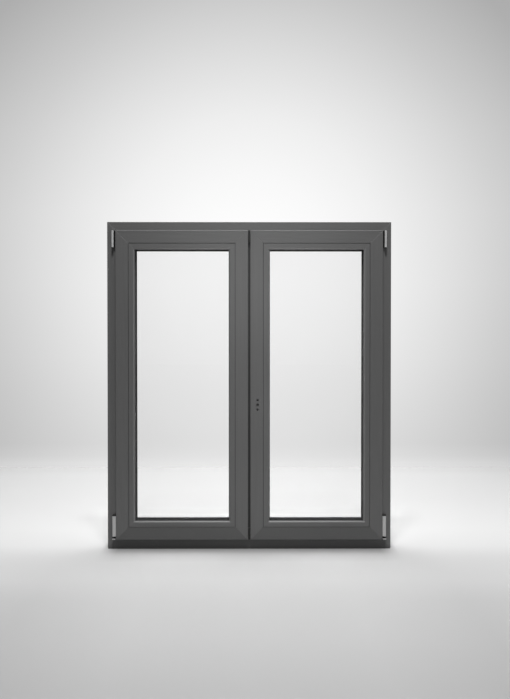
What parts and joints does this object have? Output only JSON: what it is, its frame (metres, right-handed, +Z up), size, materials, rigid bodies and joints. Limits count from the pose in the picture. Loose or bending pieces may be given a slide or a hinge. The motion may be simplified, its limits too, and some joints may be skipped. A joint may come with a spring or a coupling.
{
  "type": "two-leaf casement window",
  "caption": "Closed casement window with dark mitred profiles, clear insulating glass, a floating mullion between its leaves and silver hinges, drilled for a handle.",
  "frame": {"origin": "on the frame's flat bottom face, at mid width and mid frame depth", "axes": "+X to the right as seen from the room, +Y to the outside, +Z up"},
  "size_m": [1.3, 0.092, 1.5],
  "materials": {
    "dark_profile": "satin anthracite foil with a fine grain",
    "black_plastic": "matt black moulded plastic",
    "gasket": "matt black rubber seal",
    "glass": "clear float glass",
    "spacer": "dull grey spacer bar",
    "hinge_metal": "satin silver coating"
  },
  "bodies": {
    "root": {"frame_bottom_rail": "dark_profile", "frame_head": "dark_profile", "frame_jamb_left": "dark_profile", "frame_jamb_right": "dark_profile", "frame_rebate_gasket": "gasket", "left_bead_bottom": "dark_profile", "left_bead_hinge_side": "dark_profile", "left_bead_meeting_side": "dark_profile", "left_bead_top": "dark_profile", "left_bottom_hinge_bearing": "hinge_metal", "left_bottom_hinge_sleeve": "hinge_metal", "left_glazing_gasket_outside": "gasket", "left_glazing_gasket_room": "gasket", "left_pane_outside": "glass", "left_pane_room": "glass", "left_pane_spacer": "spacer", "left_sash_bottom_rail": "dark_profile", "left_sash_gasket": "gasket", "left_sash_hinge_stile": "dark_profile", "left_sash_meeting_stile": "dark_profile", "left_sash_top_rail": "dark_profile", "left_top_hinge_bearing": "hinge_metal", "left_top_hinge_knuckle": "hinge_metal", "meeting_mullion": "dark_profile", "mullion_cap_bottom": "black_plastic", "mullion_cap_top": "black_plastic", "mullion_gasket": "gasket", "right_bead_bottom": "dark_profile", "right_bead_hinge_side": "dark_profile", "right_bead_meeting_side": "dark_profile", "right_bead_top": "dark_profile", "right_bottom_hinge_bearing": "hinge_metal", "right_bottom_hinge_sleeve": "hinge_metal", "right_glazing_gasket_outside": "gasket", "right_glazing_gasket_room": "gasket", "right_pane_outside": "glass", "right_pane_room": "glass", "right_pane_spacer": "spacer", "right_sash_bottom_rail": "dark_profile", "right_sash_gasket": "gasket", "right_sash_hinge_stile": "dark_profile", "right_sash_meeting_stile": "dark_profile", "right_sash_top_rail": "dark_profile", "right_top_hinge_bearing": "hinge_metal", "right_top_hinge_knuckle": "hinge_metal"}
  },
  "joints": []
}
